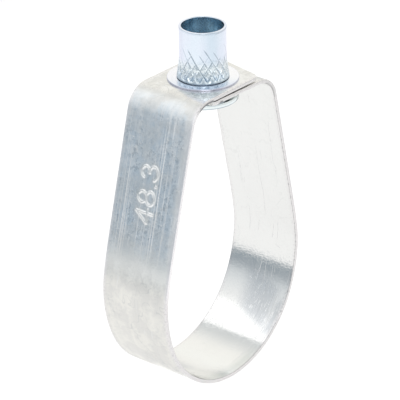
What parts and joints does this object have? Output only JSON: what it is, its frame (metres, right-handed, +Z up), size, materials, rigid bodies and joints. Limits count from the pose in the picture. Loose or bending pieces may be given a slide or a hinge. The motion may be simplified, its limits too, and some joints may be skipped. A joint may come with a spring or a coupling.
{
  "type": "loop pipe hanger",
  "caption": "Swivel loop hanger for one pipe: a bent strap with overlapping punched ends turns on a knurled nut that screws onto a hanging rod.",
  "frame": {"origin": "on the pipe's axis, in the middle of the strap's width", "axes": "+Y along the pipe, +Z up towards the hanging rod, +X towards the leg that carries the lower layer"},
  "size_m": [0.0518, 0.02, 0.0915],
  "materials": {
    "galvanized_strap": "pre-galvanized strip, satin with drawing streaks",
    "zinc_plated_nut": "bright blue-white zinc plating",
    "zinc_plated_washer": "bright blue-white zinc plating"
  },
  "bodies": {
    "nut": {"knurled_nut": "zinc_plated_nut"},
    "washer": {"retaining_washer": "zinc_plated_washer"},
    "loop": {"loop_band": "galvanized_strap"}
  },
  "joints": [
    {"name": "neck_slide", "type": "slide", "parent": "nut", "child": "washer", "axis": [0, 0, -1], "range_m": [0, 0.0012]},
    {"name": "loop_swivel", "type": "hinge", "parent": "washer", "child": "loop", "pos_m": [0.00105, 0, 0.0527], "axis": [0, 0, 1], "continuous": true}
  ]
}
